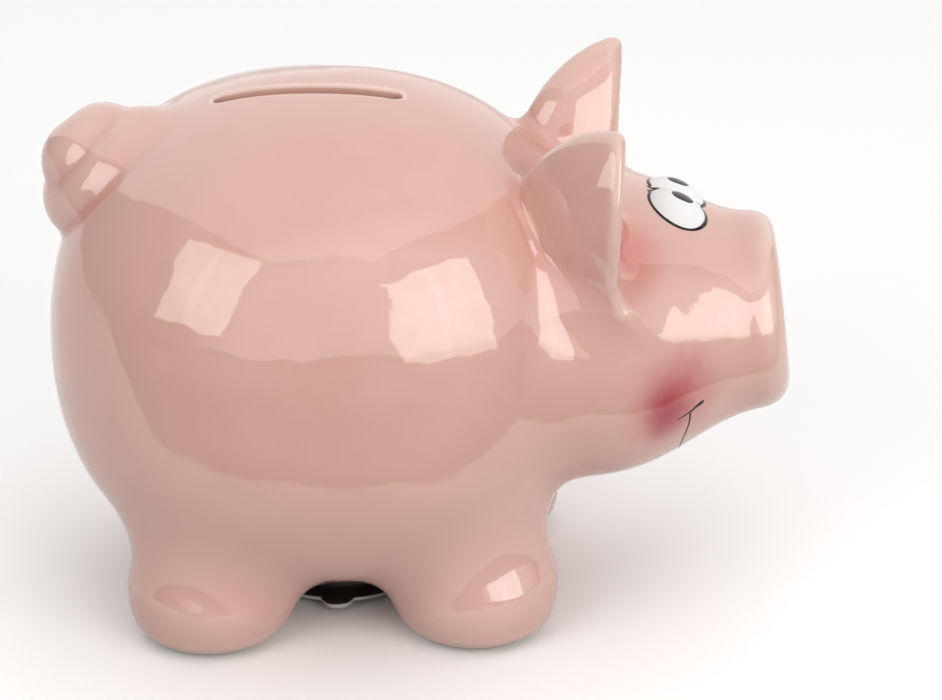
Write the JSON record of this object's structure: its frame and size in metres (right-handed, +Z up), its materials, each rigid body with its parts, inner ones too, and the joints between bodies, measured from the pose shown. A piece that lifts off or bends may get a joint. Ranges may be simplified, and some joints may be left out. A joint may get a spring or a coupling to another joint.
{
  "type": "figural animal coin bank",
  "caption": "Hollow glazed ceramic pig with a coin slot along its back and a pull-out rubber stopper under its belly, standing on four stub legs.",
  "frame": {"origin": "on the surface that the feet stand on, under the middle of the bounding box", "axes": "+X forward towards the snout, +Y the pig's left side, +Z up"},
  "size_m": [0.1646, 0.113, 0.1185],
  "materials": {
    "pink_glaze": "gloss clear glaze over pale pink slip, unglazed cream foot rims",
    "white_glaze": "gloss white with hand-painted black outline and pupil",
    "black_soft_pvc": "satin black soft PVC"
  },
  "bodies": {
    "bank": {"body_shell": "pink_glaze", "ear_left": "pink_glaze", "ear_right": "pink_glaze", "tail": "pink_glaze", "eye_left": "white_glaze", "eye_right": "white_glaze"},
    "stopper": {"stopper": "black_soft_pvc"}
  },
  "joints": [
    {"name": "stopper_pull", "type": "slide", "parent": "bank", "child": "stopper", "axis": [0, 0, -1], "range_m": [0, 0.03]}
  ]
}
